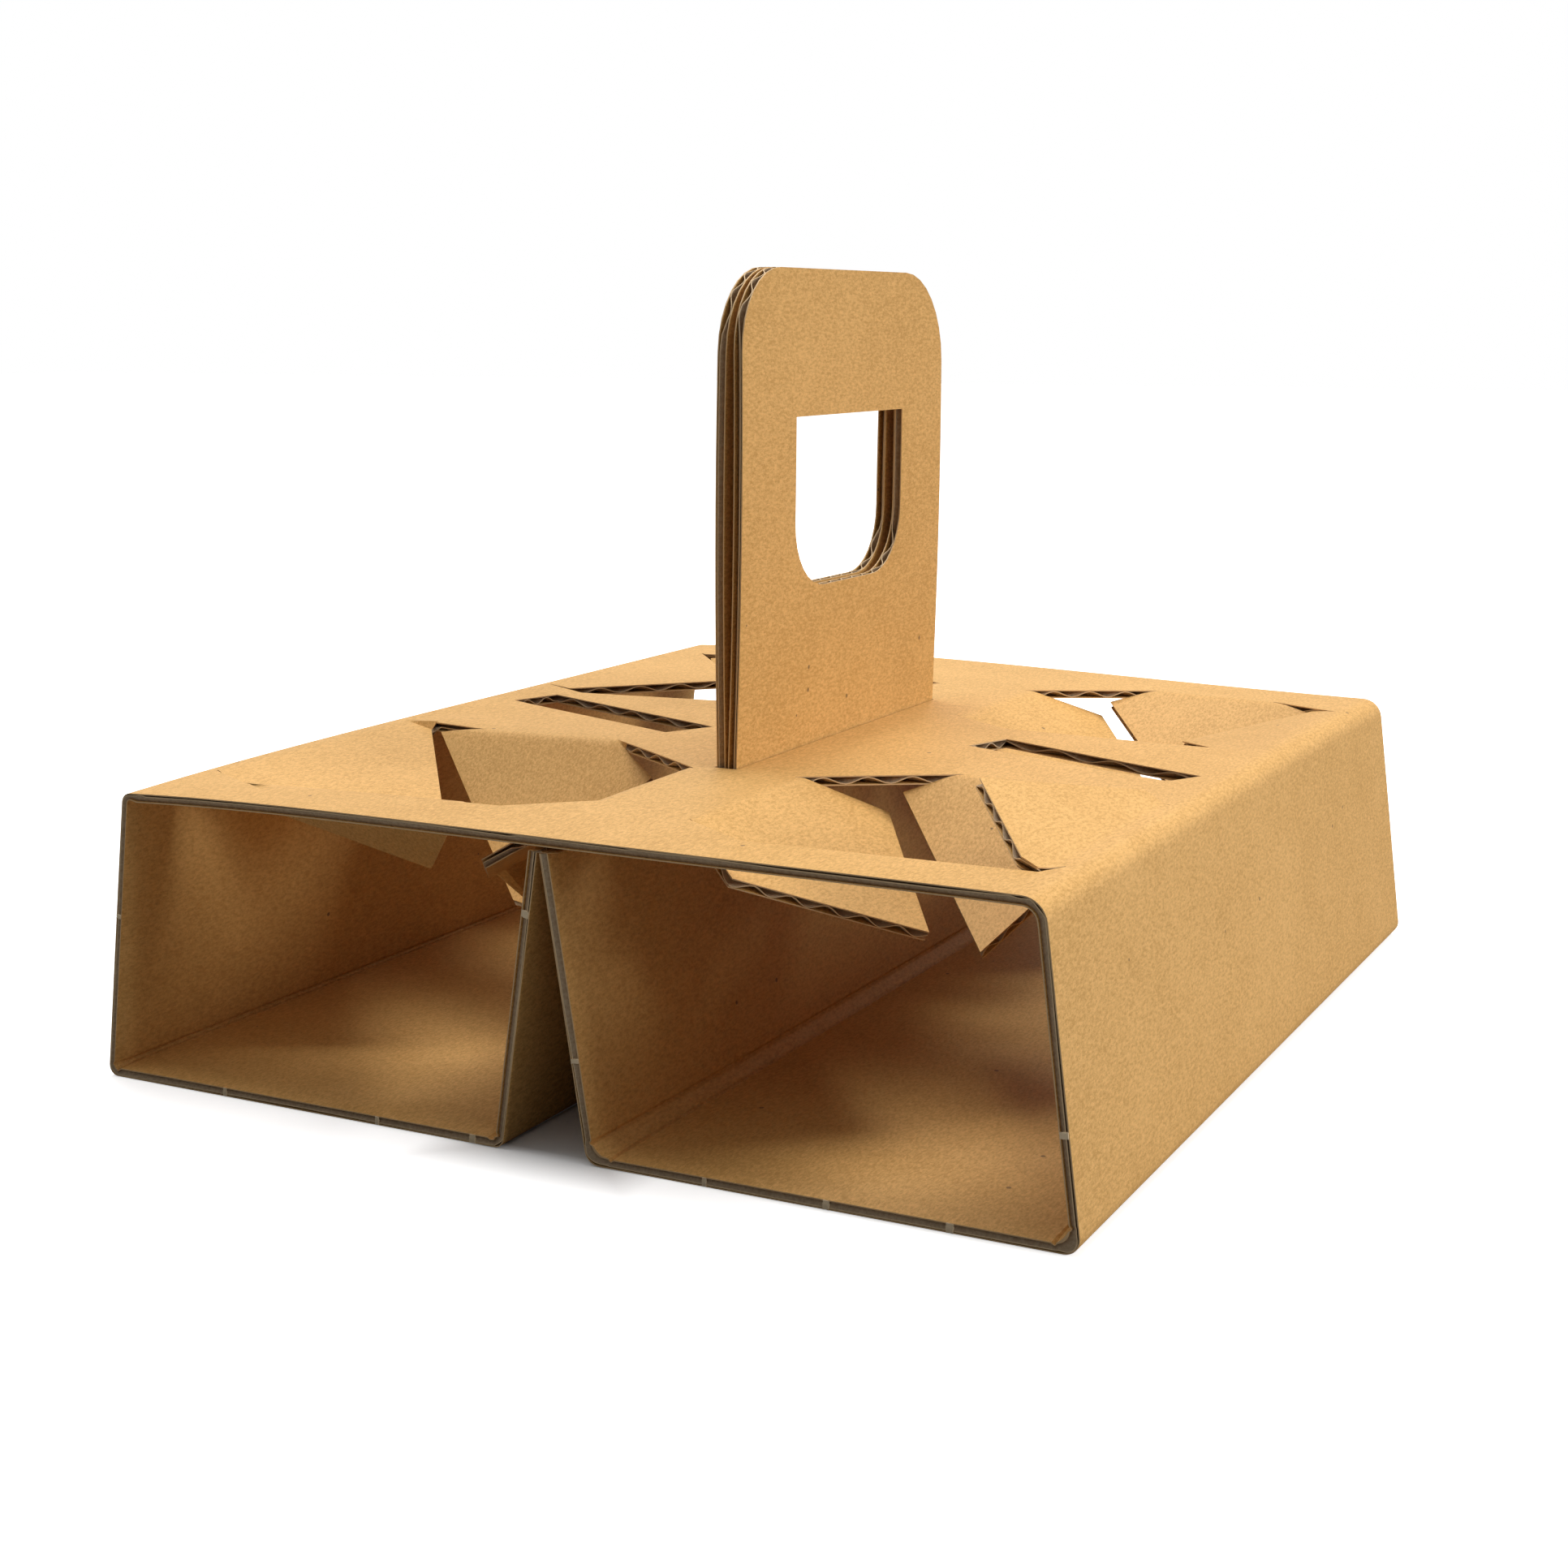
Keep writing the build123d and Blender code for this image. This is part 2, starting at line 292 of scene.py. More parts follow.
# %% The windows and the slot for the handle
windows = [
    [(-103.2, 10.0), (-97.7, 24.0), (-28.5, -7.8), (-35.6, -20.6)],
    [(42.0, -0.5), (46.8, 13.6), (105.5, -7.4), (100.2, -17.2)],
]
slot_play, slot_front, slot_back = 0.5, -58.0, 61.2
slot_left = handle_x - ply_gap / 2 - board - slot_play
slot_right = handle_x + ply_gap / 2 + board + slot_play
slot = [(slot_left, slot_front), (slot_left, slot_back),
        (slot_right, slot_back), (slot_right, slot_front)]
print("Slot:", round(slot_right - slot_left, 1), "by", round(slot_back - slot_front, 1), "mm")


# %% The handle's outline and hand hole, as (y, z)
def rounded_outline(points, rounds, steps=8):
    """A closed outline whose corners are rounded by arcs."""
    out = []
    sides = zip(points[-1:] + points[:-1], points, points[1:] + points[:1], rounds)
    for before, corner, after, radius in sides:
        if not radius:
            out.append(corner)
            continue
        centre, arms = corner_arc(before, corner, after, radius, steps)
        out += [tuple(centre + arm * radius) for arm in arms]
    return out


handle_front, handle_back, handle_back_top = -57.5, 60.8, 59.2
round_front, round_back, round_grip = 20, 24, 17
grip_front, grip_back, grip_low, grip_high = -29.4, 33.4, 41.0, 84.3
ply_foot = shoulder - 6                      # below the fold, so the outline cuts only the ply
ply_head = handle_top - 0.05                 # a knife line needs paper on both of its sides
ply_outline = rounded_outline(
    [(handle_front, ply_foot), (handle_front, ply_head),
     (handle_back_top, ply_head), (handle_back, ply_foot)], [0, round_front, round_back, 0])
grip = rounded_outline(
    [(grip_front, height + grip_low), (grip_front, height + grip_high),
     (grip_back, height + grip_high), (grip_back, height + grip_low)], [round_grip, 0, 0, round_grip])
print("Handle outline:", len(ply_outline), "points; hand hole:", len(grip))

# %% [markdown]
# ## The flat sheet
# A grid of faces is laid out flat, closer together where the sheet will bend. Each cut is
# then a knife line across the faces near it, and what lies inside an opening is lifted out.
# A boolean could cut the folded shape, but knife lines on the flat sheet leave clean faces
# and cut all three papers alike. The same helper makes the liners' grid and the flutes'.


# %% Places along a line, and places inside an outline
def spread(low, high, step):
    """Even places from low to high, no more than step apart."""
    return list(np.linspace(low, high, max(2, int(math.ceil((high - low) / step)) + 1)))


def merged(places, fixed=(), nearest=0.15):
    """Sorted places, without those that all but touch a fixed one or the one before."""
    out = []
    for place in sorted(p for p in places if all(abs(p - f) > nearest for f in fixed)):
        if not out or place - out[-1] > nearest:
            out.append(place)
    return sorted(out + list(fixed))


def inside(points, outline, slack=0.0):
    """For each point, whether it lies in a convex outline grown by slack."""
    ring = np.array(outline)
    if np.sum(ring[:, 0] * np.roll(ring[:, 1], -1) - np.roll(ring[:, 0], -1) * ring[:, 1]) < 0:
        ring = ring[::-1]
    result = np.ones(len(points), bool)
    for p, q in zip(ring, np.roll(ring, -1, axis=0)):
        side = (q - p) / np.linalg.norm(q - p)
        result &= side[0] * (points[:, 1] - p[1]) - side[1] * (points[:, 0] - p[0]) > -slack
    return result


print("Even places from 0 to 10, 4 apart at most:", [round(float(v), 1) for v in spread(0, 10, 4)])

# %% The knife
touch = 0.01                                 # a face this near to a cut counts as reached by it


def cut_along(sheet, outline):
    """Knife lines across the faces near each side of the outline."""
    low_s, high_s = min(p[0] for p in outline), max(p[0] for p in outline)
    low_y, high_y = min(p[1] for p in outline), max(p[1] for p in outline)
    near = [f for f in sheet.faces
            if any(v.co.x > low_s - touch for v in f.verts)
            and any(v.co.x < high_s + touch for v in f.verts)
            and any(v.co.y > low_y - touch for v in f.verts)
            and any(v.co.y < high_y + touch for v in f.verts)]
    for p, q in zip(outline, outline[1:] + outline[:1]):
        side_s, side_y = sorted((p[0], q[0])), sorted((p[1], q[1]))
        struck, left = [], []
        for f in near:
            xs, ys = [v.co.x for v in f.verts], [v.co.y for v in f.verts]
            hit = max(xs) > side_s[0] - touch and min(xs) < side_s[1] + touch
            hit = hit and max(ys) > side_y[0] - touch and min(ys) < side_y[1] + touch
            (struck if hit else left).append(f)
        edges = list({e for f in struck for e in f.edges})
        points = list({v for f in struck for v in f.verts})
        cut = bmesh.ops.bisect_plane(sheet, geom=struck + edges + points, dist=1e-4,
                                     plane_co=(p[0], p[1], 0), plane_no=(q[1] - p[1], p[0] - q[0], 0))
        near = left + [part for part in cut["geom"] if isinstance(part, bmesh.types.BMFace)]


def middles(faces):
    """The faces' middles as rows of s and y."""
    return np.array([f.calc_center_median()[:2] for f in faces]).reshape(-1, 2)


def lift_out(sheet, faces, gone):
    """Deletes the faces that are marked as gone."""
    bmesh.ops.delete(sheet, geom=[f for f, g in zip(faces, gone) if g], context="FACES")


def cut_out(sheet, outline):
    """Cuts along an outline and lifts out what lies inside it."""
    cut_along(sheet, outline)
    faces = list(sheet.faces)
    lift_out(sheet, faces, inside(middles(faces), outline))


print("Cuts reach faces within", touch, "mm")

# %% Lay out the grid
ply_edge = 0.5                               # width of grid kept outside the handle's outline


def grid(columns, rows):
    """A flat grid of faces with the places beside the handle plies left out."""
    sheet = bmesh.new()
    corner = {}

    def at(i, j):
        if (i, j) not in corner:
            corner[i, j] = sheet.verts.new((columns[i], rows[j], 0.0))
        return corner[i, j]

    for i in range(len(columns) - 1):
        in_ply = columns[i + 1] < left_shoulder + touch or columns[i] > right_shoulder - touch
        for j in range(len(rows) - 1):
            if in_ply and (rows[j + 1] < handle_front - ply_edge or rows[j] > handle_back + ply_edge):
                continue
            sheet.faces.new((at(i, j), at(i + 1, j), at(i + 1, j + 1), at(i, j + 1)))
    return sheet


print("Beside the plies the grid ends", ply_edge, "mm or more past their outline")


# %% Cut everything out of the grid
def cut_opening(sheet, outline, flaps):
    """Cuts a cup opening, its flaps and their scored hinges, and lifts out the rest."""
    cut_along(sheet, outline)
    for flap in flaps.values():
        cut_along(sheet, flap)
        start, end, inward = hinge_of(flap)
        for k in range(1, bend_cuts + 1):
            cut_along(sheet, [tuple(p + inward * bend_run * k / bend_cuts) for p in (start, end)])
    faces = list(sheet.faces)
    centre = middles(faces)
    gone = inside(centre, outline)
    for flap in flaps.values():
        gone &= ~inside(centre, flap)
    lift_out(sheet, faces, gone)


def flat_sheet(columns, rows, name):
    """The die-cut sheet, flat, with x as s and y as y, as a mesh."""
    sheet = grid(columns, rows)
    for side, end in ((-1, left_shoulder), (1, right_shoulder)):
        outline = on_ply(ply_outline, side)
        cut_along(sheet, outline)
        faces = [f for f in sheet.faces if side * (f.calc_center_median().x - end) > 0]
        lift_out(sheet, faces, ~inside(middles(faces), outline))
        cut_out(sheet, on_ply(grip, side))
    for outline in windows + [slot]:
        cut_out(sheet, on_top(outline))
    for outline, flaps in openings.values():
        cut_opening(sheet, on_top(outline), {key: on_top(flap) for key, flap in flaps.items()})
    mesh = bpy.data.meshes.new(name)
    sheet.to_mesh(mesh)
    sheet.free()
    print(name, "has", len(mesh.polygons), "faces")
    return mesh


# %% [markdown]
# ## Creases
# Before board is folded it is creased: a blunt rule presses a groove on each side of the
# fold, and the inner liner spans the two as a flat facet. A bevel would only round the fold.
# So the grid gets columns across the grooves at the four folds of the floor panels, and the
# fold presses them in later.

# %% Where the board is creased
groove_width, groove_fall = 0.5, 0.6
wide_reach, narrow_reach = 1.8, 0.3          # how far past a fold its pair of grooves lies
creases = [(low - reach, high + reach) for (low, high), reach in
           zip(folds[1:3] + folds[5:7], (narrow_reach, narrow_reach, wide_reach, wide_reach))]
print("Creases span", [round(high - low, 1) for low, high in creases], "mm")


# %% The liners' grid
def sheet_columns(flat_step, top_step, across_groove):
    """Places along s: close together in each fold and hinge, wider between them."""
    ply_step = 12.0
    just_over = 1.01                         # keeps rounding from adding a place to a fold
    places = []
    ends = [0.0] + [v for fold in folds for v in fold] + [stations[-1, 0]]
    steps = [ply_step] + 3 * [flat_step] + [top_step] + 3 * [flat_step] + [ply_step]
    for (low, high), step in zip(zip(ends[::2], ends[1::2]), steps):
        places += spread(low, high, step)
    for low, high in folds:
        places += spread(low, high, (high - low) / fold_steps * just_over)
    for low, high in creases:
        places += [end + groove_width * k for end in (low, high) for k in across_groove]
    for outline, flaps in openings.values():
        for key, way in (("side_a", 1), ("side_b", -1)):
            hinge = on_top([flaps[key][0]])[0][0]
            places += [hinge + way * bend_run * k / bend_cuts for k in range(bend_cuts + 1)]
    return merged(places, (left_shoulder, right_shoulder))


hinge_rows = [flaps["rear"][0][1] - bend_run * k / bend_cuts
              for outline, flaps in openings.values() for k in range(bend_cuts + 1)]
end_runs = (1.0, 2.0, 3.5)                   # rows near the open ends, where the board is crushed
end_rows = [side * (half_depth - run) for side in (-1, 1) for run in end_runs]
liner_step = 7.0
liner_rows = merged(spread(-half_depth, half_depth, liner_step) + hinge_rows + end_rows)
liner_columns = sheet_columns(
    flat_step=20.0, top_step=liner_step, across_groove=(-1.5, -0.7, 0.0, 0.7, 1.5))
liner_mesh = flat_sheet(liner_columns, liner_rows, "liner_flat")

# %% [markdown]
# ## Flutes
# A wave of paper repeats every six millimetres or so, all through the sheet: this is work
# for Geometry Nodes. One tree turns a flat sheet into paper: it lays the sheet at a level,
# waves it, gives it thickness and marks its cut edges, so that the finish can tell a cut
# edge from a face. The liners use the same tree with a wave of no height.


# %% Helpers for trees
def new_tree(name, inputs):
    """A geometry tree with a Geometry input and output and the named inputs."""
    tree = bpy.data.node_groups.new(name, "GeometryNodeTree")
    tree.interface.new_socket("Geometry", in_out="INPUT", socket_type="NodeSocketGeometry")
    for label, kind, value in inputs:
        socket = tree.interface.new_socket(label, in_out="INPUT", socket_type=kind)
        if value is not None:
            socket.default_value = value
    tree.interface.new_socket("Geometry", in_out="OUTPUT", socket_type="NodeSocketGeometry")
    return tree


def node(tree, kind, **settings):
    """A new node; each of its inputs is given a value, or a link if a socket is given."""
    made = tree.nodes.new(kind)
    for key, value in settings.items():
        if key == "inputs":
            for socket, given in value.items():
                if isinstance(given, bpy.types.NodeSocket):
                    tree.links.new(given, made.inputs[socket])
                else:
                    made.inputs[socket].default_value = given
        else:
            setattr(made, key, value)
    return made


def math_node(tree, operation, *values):
    """The result of a Math node for one or two values or sockets."""
    return node(tree, "ShaderNodeMath", operation=operation, inputs=dict(enumerate(values))).outputs[0]


def mix_colours(tree, share, first, second):
    """A colour between two; each is a plain colour or a socket."""
    return node(tree, "ShaderNodeMix", data_type="RGBA", inputs={0: share, 6: first, 7: second}).outputs[2]


def finish_tree(tree, geometry, material):
    """Ends a geometry tree with its material and its output."""
    named = node(tree, "GeometryNodeSetMaterial", inputs={"Geometry": geometry, "Material": material})
    result = node(tree, "NodeGroupOutput")
    tree.links.new(named.outputs[0], result.inputs[0])
    print(tree.name, "tree:", len(tree.nodes), "nodes")


# %% The paper tree
flute_pitch = 6.3
liner_paper, flute_thickness = 0.30, 0.24
weld = 0.002                                 # points nearer than this are joined
paper_tree = new_tree("Paper sheet", [
    ("Level", "NodeSocketFloat", 0.0), ("Wave height", "NodeSocketFloat", 0.0),
    ("Wave pitch", "NodeSocketFloat", flute_pitch), ("Thickness", "NodeSocketFloat", liner_paper),
    ("Material", "NodeSocketMaterial", None)])
given = node(paper_tree, "NodeGroupInput").outputs
place = node(paper_tree, "GeometryNodeInputPosition")
axes = node(paper_tree, "ShaderNodeSeparateXYZ", inputs={"Vector": place.outputs[0]})
turns = math_node(paper_tree, "DIVIDE", axes.outputs["Y"], given["Wave pitch"])
wave = math_node(paper_tree, "SINE", math_node(paper_tree, "MULTIPLY", turns, 2 * math.pi))
half_height = math_node(paper_tree, "MULTIPLY", given["Wave height"], 0.5)
level = math_node(paper_tree, "ADD", math_node(paper_tree, "MULTIPLY", wave, half_height), given["Level"])
offset = node(paper_tree, "ShaderNodeCombineXYZ", inputs={"Z": level})
laid = node(paper_tree, "GeometryNodeSetPosition",
            inputs={"Geometry": given["Geometry"], "Offset": offset.outputs[0]})
up = node(paper_tree, "ShaderNodeCombineXYZ", inputs={"Z": given["Thickness"]})
thick = node(paper_tree, "GeometryNodeExtrudeMesh", mode="FACES", inputs={
    "Mesh": laid.outputs[0], "Offset": up.outputs[0], "Offset Scale": 1.0, "Individual": False})
marked = node(paper_tree, "GeometryNodeStoreNamedAttribute", data_type="FLOAT", domain="FACE",
              inputs={"Geometry": thick.outputs["Mesh"], "Name": "cut_edge", "Value": thick.outputs["Side"]})
under = node(paper_tree, "GeometryNodeFlipFaces", inputs={"Mesh": laid.outputs[0]})
both = node(paper_tree, "GeometryNodeJoinGeometry")
paper_tree.links.new(marked.outputs[0], both.inputs[0])
paper_tree.links.new(under.outputs[0], both.inputs[0])
closed = node(paper_tree, "GeometryNodeMergeByDistance", inputs={
    "Geometry": both.outputs[0], "Distance": weld})
real = node(paper_tree, "GeometryNodeRealizeInstances", inputs={"Geometry": closed.outputs[0]})
finish_tree(paper_tree, real.outputs[0], given["Material"])


# %% Run a tree once and keep its result as a plain mesh
def run_tree(mesh, tree, values, name):
    """Applies the tree to the mesh with the given inputs, and returns a plain mesh."""
    holder = bpy.data.objects.new(name + "_work", mesh)
    bpy.context.scene.collection.objects.link(holder)
    modifier = holder.modifiers.new("tree", "NODES")
    modifier.node_group = tree
    for item in tree.interface.items_tree:
        if item.item_type == "SOCKET" and item.in_out == "INPUT" and item.name in values:
            modifier[item.identifier] = values[item.name]
    view = bpy.context.evaluated_depsgraph_get()
    plain = bpy.data.meshes.new_from_object(holder.evaluated_get(view), depsgraph=view)
    plain.name = name
    holder.modifiers.clear()
    bpy.data.objects.remove(holder)
    print(name, "has", sum(len(p.vertices) - 2 for p in plain.polygons), "triangles")
    return plain


# %% [markdown]
# ## Folding
# The fold takes s, y and the height above the outer face, and gives the real place. A flap
# turns over a few millimetres at its hinge, where the board is scored, and may curl a little
# further on. The top panel isn't quite flat: the shoulders of the inner walls press it up
# in the middle. The two plies of the handle spring a little apart between their ends.

# %% The bow of the top panel
bow_x = [-115.0, -57.0, 0.0, 57.0, 115.0]
bow_y = [-138.0, -69.0, 0.0, 69.0, 138.0]
bow_heights = np.array([
    [-0.7, 0.7, 0.5, 0.3, 0.0],
    [0.9, 1.4, 1.8, 1.0, 0.2],
    [1.1, 1.6, 2.0, 1.1, 0.3],
    [1.0, 1.9, 2.0, 0.9, 0.0],
    [0.9, 2.4, 1.6, 0.0, -1.2],
])


def through(knots, places):
    """Weights of a smooth curve through the knots, one row for each place."""
    columns = []
    for i, knot in enumerate(knots):
        others = [k for j, k in enumerate(knots) if j != i]
        columns.append(np.prod([(places - k) / (knot - k) for k in others], axis=0))
    return np.stack(columns, axis=1)


def bow(x, y):
    """How far the top panel stands above its flat place; one row of heights for each y."""
    x, y = np.clip(x, bow_x[0], bow_x[-1]), np.clip(y, bow_y[0], bow_y[-1])
    return np.einsum("ni,ij,nj->n", through(bow_y, y), bow_heights, through(bow_x, x))


print("The top panel bows from", bow_heights.min(), "to", bow_heights.max(), "mm")

# %% How the plies stand apart
gap_below, gap_gain, gap_bulge = 0.5, 0.5, 6.6


def ply_spring(z):
    """How much further apart than the straight plies the two are, at height z."""
    t = np.clip((z - height) / (handle_top - height), 0.0, 1.0)
    straight = ply_gap + (lean_right - lean_left) * t
    real_gap = gap_below + gap_gain * t + gap_bulge * t * (1 - t)
    return real_gap - straight


half_way_up = (height + handle_top) / 2
print("Half way up the plies spring", round(float(ply_spring(half_way_up)), 2), "mm further apart")

# %% Creases and crushed ends
crushed, crushed_left = 0.10, 0.35           # share of the thickness lost at the open ends
crush_run = 2.6
facet_power = 3                              # a higher power leaves more of the outer face round


def along_line(s, above):
    """Places (x, z) of the sheet line at s, above its outer face."""
    x, z, nx, nz = [np.interp(s, stations[:, 0], stations[:, k]) for k in (1, 2, 3, 4)]
    size = np.hypot(nx, nz)
    return x - above * nx / size, z - above * nz / size


def creased(s, above):
    """The inner liner spans each fold as a flat facet between two pressed grooves."""
    for low, high in creases:
        for end in (low, high):
            above = above - above / board * groove_fall * np.exp(-((s - end) / groove_width) ** 2)
    x, z = along_line(s, above)
    for low, high in creases:
        here = (s > low) & (s < high)
        t = (s[here] - low) / (high - low)
        (x0, z0), (x1, z1) = [along_line(np.full(len(t), end), above[here]) for end in (low, high)]
        share = np.clip(-above[here] / board, 0, 1) ** facet_power
        x[here] += share * (x0 + (x1 - x0) * t - x[here])
        z[here] += share * (z0 + (z1 - z0) * t - z[here])
    return x, z


def crush(s, y):
    """Share of the thickness left near the open ends; the left wall is pressed the most."""
    in_ply = (s < left_shoulder) | (s > right_shoulder)
    at_left = (s > folds[2][0]) & (s < folds[3][1])
    lost = np.where(in_ply, 0.0, np.where(at_left, crushed_left, crushed))
    return 1 - lost * np.exp(-((half_depth - np.abs(y)) / crush_run) ** 2)


print("Millimetres pressed off the ends:", crushed * board, "and on the left", crushed_left * board)

# %% The lean of the inner walls at the front
wall_lean_top, wall_lean_right, wall_lean_left = -2.2, -1.3, 0.8
lean_growth = 1.5


def wall_lean(s, y, z):
    """Sideways shift of the inner walls, which grows from the handle to the front edge."""
    grows = np.clip((handle_front - y) / (half_depth + handle_front), 0, 1) ** lean_growth
    up = np.clip(z / shoulder, 0, 1)
    left_wall, right_wall = s < folds[1][1], s > folds[6][0]
    foot = np.where(left_wall, wall_lean_left, np.where(right_wall, wall_lean_right, 0.0))
    lean = foot + (wall_lean_top - foot) * up
    return np.where(left_wall | right_wall, lean * grows, 0.0)


print("At the front edge the inner walls lean", wall_lean_top, "mm at their tops")

# %% How a flap bends
longest_flap, flap_places = 120.0, 1201      # a place every tenth of a millimetre


def bent(along, above, angle, curl):
    """A flap seen from its side: how far out and how far up each point comes to lie."""
    t = np.linspace(0.0, longest_flap, flap_places)
    turn = np.radians(angle * np.clip(t / bend_run, 0, 1) + curl / 10 * np.clip(t - bend_run, 0, None))
    step = t[1] - t[0]
    out = np.concatenate([[0.0], np.cumsum(np.cos((turn[1:] + turn[:-1]) / 2)) * step])
    drop = np.concatenate([[0.0], np.cumsum(np.sin((turn[1:] + turn[:-1]) / 2)) * step])
    here = np.interp(along, t, turn)
    return (np.interp(along, t, out) + above * np.sin(here),
            -np.interp(along, t, drop) + above * np.cos(here))


out, up = bent(np.array([40.0]), np.array([0.0]), *flap_bends["front_left"]["rear"])
print("40 mm along, the front left rear flap is", round(float(-up[0]), 1), "mm down")

# %% Fold the sheet
slit_lift = [(-98.0, -30.5, 0.9, 8.0)]       # x, y, height and reach of a sprung cut edge
flap_slack, lift_fade, smooth_below = 0.12, 1.5, 32


def folded(flat):
    """Real places, in millimetres, of sheet places (s, y, height above the outer face)."""
    s, y, above = flat.T
    above = above * crush(s, y)
    x, z = along_line(s, 0.0)
    real_x, real_z = creased(s, above)
    place = np.stack([real_x, y, real_z], axis=1)
    in_flap = np.zeros(len(s), bool)
    for name, (outline, flaps) in openings.items():
        for key, flap in flaps.items():
            here = inside(np.stack([s, y], axis=1), on_top(flap), flap_slack)
            start, end, inward = hinge_of(flap)
            from_hinge = (x[here] - start.x) * inward.x + (y[here] - start.y) * inward.y
            from_hinge = np.clip(from_hinge, 0, None)
            out, up = bent(from_hinge, above[here], *flap_bends[name][key])
            place[here, 0] += inward.x * (out - from_hinge)
            place[here, 1] += inward.y * (out - from_hinge)
            place[here, 2] = height + up
            in_flap |= here
    in_ply = (s < left_shoulder) | (s > right_shoulder)
    share = np.where(in_ply, 1 - (z - shoulder) / (handle_top - shoulder), z / height)
    place[:, 2] += bow(x, y) * np.clip(share, 0, 1) ** np.where(in_ply, 1, lift_fade)
    place[:, 0] += np.where(in_ply, np.where(s < left_shoulder, -0.5, 0.5) * ply_spring(z), 0.0)
    place[:, 0] += np.where(in_ply, 0.0, wall_lean(s, y, z))
    on_panel = (s > top_start) & (s < top_end) & ~in_flap
    for lift_x, lift_y, rise, reach in slit_lift:
        place[:, 2] += on_panel * rise * np.exp(-((x - lift_x) ** 2 + (y - lift_y) ** 2) / reach ** 2)
    return place


def points_of(mesh):
    """The mesh's points as rows of x, y and z."""
    co = np.zeros(len(mesh.vertices) * 3)
    mesh.vertices.foreach_get("co", co)
    return co.reshape(-1, 3)


def fold_mesh(mesh):
    """Folds the mesh where it lies, and keeps its cut edges sharp."""
    mesh.vertices.foreach_set("co", (folded(points_of(mesh)) * MM).ravel())
    mesh.update()
    mesh.shade_smooth()
    mesh.set_sharp_from_angle(angle=math.radians(smooth_below))


front_middle = folded(np.array([[(top_start + top_end) / 2, -half_depth, 0.0]]))[0]
print("The middle of the top's front edge comes to lie", round(float(front_middle[2]), 1), "mm up")

# %% [markdown]
# ## Kraft paper
# The liners are brown kraft: long fibres pressed into a mottled, matt sheet, with a few dark
# specks. Cut edges are rough, and their colours are painted paler than the faces: painted
# light, standing in for the front light that the edges lack. The flute paper is greyer,
# because it is mostly recycled. One group makes the fibre pattern for all of them, each with
# its own amounts, so no picture is needed and the grain is the same size on every piece.

# %% The fibre group
fibres = bpy.data.node_groups.new("Paper fibres", "ShaderNodeTree")
for label, value in (("Grain", 900.0), ("Mottle", 60.0), ("Specks", 0.5)):
    socket = fibres.interface.new_socket(label, in_out="INPUT", socket_type="NodeSocketFloat")
    socket.default_value = value
for label in ("Tone", "Speck", "Height"):
    fibres.interface.new_socket(label, in_out="OUTPUT", socket_type="NodeSocketFloat")
asked = node(fibres, "NodeGroupInput").outputs
where = node(fibres, "ShaderNodeTexCoord").outputs["Object"]


def noise(vector, scale, **more):
    """A noise pattern's value, with its other inputs by name."""
    made = node(fibres, "ShaderNodeTexNoise", inputs={"Vector": vector, "Scale": scale, **more})
    return made.outputs["Fac"]


grain_share, mottle_share, cloud_share = 0.72, 0.13, 0.15
long_way = node(fibres, "ShaderNodeMapping", inputs={"Vector": where, "Scale": (1.0, 0.35, 1.0)})
grain = noise(long_way.outputs[0], asked["Grain"], Detail=4.0, Roughness=0.65)
mottle = noise(where, asked["Mottle"], Detail=3.0, Roughness=0.6)
cloud = noise(where, 14.0, Detail=2.0)
mixed = math_node(fibres, "ADD", math_node(fibres, "MULTIPLY", grain, grain_share),
                  math_node(fibres, "MULTIPLY", mottle, mottle_share))
soft = math_node(fibres, "ADD", mixed, math_node(fibres, "MULTIPLY", cloud, cloud_share))
print("Tone is a mix of", grain_share, "grain,", mottle_share, "mottle and", cloud_share, "cloud")

# %% Single fibres and specks
pale_share, dark_share, fibre_width = 0.13, 0.11, 0.03
speck_cells, speck_rare, speck_size = 160.0, 0.93, 0.09


def curly_fibres(scale, turned):
    """Thin winding lines, where a noise passes through its middle value."""
    laid = node(fibres, "ShaderNodeMapping", inputs={"Vector": where, "Rotation": turned})
    winding = noise(laid.outputs[0], scale, Detail=1.0, Distortion=0.8)
    away = math_node(fibres, "ABSOLUTE", math_node(fibres, "SUBTRACT", winding, 0.5))
    return node(fibres, "ShaderNodeMapRange", inputs={
        "Value": away, "From Min": 0.0, "From Max": fibre_width, "To Min": 1.0, "To Max": 0.0}).outputs[0]


pale_fibres = math_node(fibres, "MULTIPLY", curly_fibres(700.0, (0.0, 0.0, 0.0)), pale_share)
dark_fibres = math_node(fibres, "MULTIPLY", curly_fibres(850.0, (0.7, 0.4, 1.1)), dark_share)
tone = math_node(fibres, "SUBTRACT", math_node(fibres, "ADD", soft, pale_fibres), dark_fibres)
dots = node(fibres, "ShaderNodeTexVoronoi", feature="F1", inputs={
    "Vector": where, "Scale": speck_cells, "Randomness": 1.0})
chance = node(fibres, "ShaderNodeSeparateColor", inputs={"Color": dots.outputs["Color"]}).outputs[0]
chosen = math_node(fibres, "GREATER_THAN", chance, speck_rare)
small = math_node(fibres, "LESS_THAN", dots.outputs["Distance"], speck_size)
speck = math_node(fibres, "MULTIPLY", math_node(fibres, "MULTIPLY", chosen, small), asked["Specks"])
out = node(fibres, "NodeGroupOutput", inputs={"Tone": tone, "Speck": speck, "Height": grain})
print("Fibre group:", len(fibres.nodes), "nodes")

# %% Finishes made from the group
speck_brown = (0.10, 0.055, 0.025, 1)


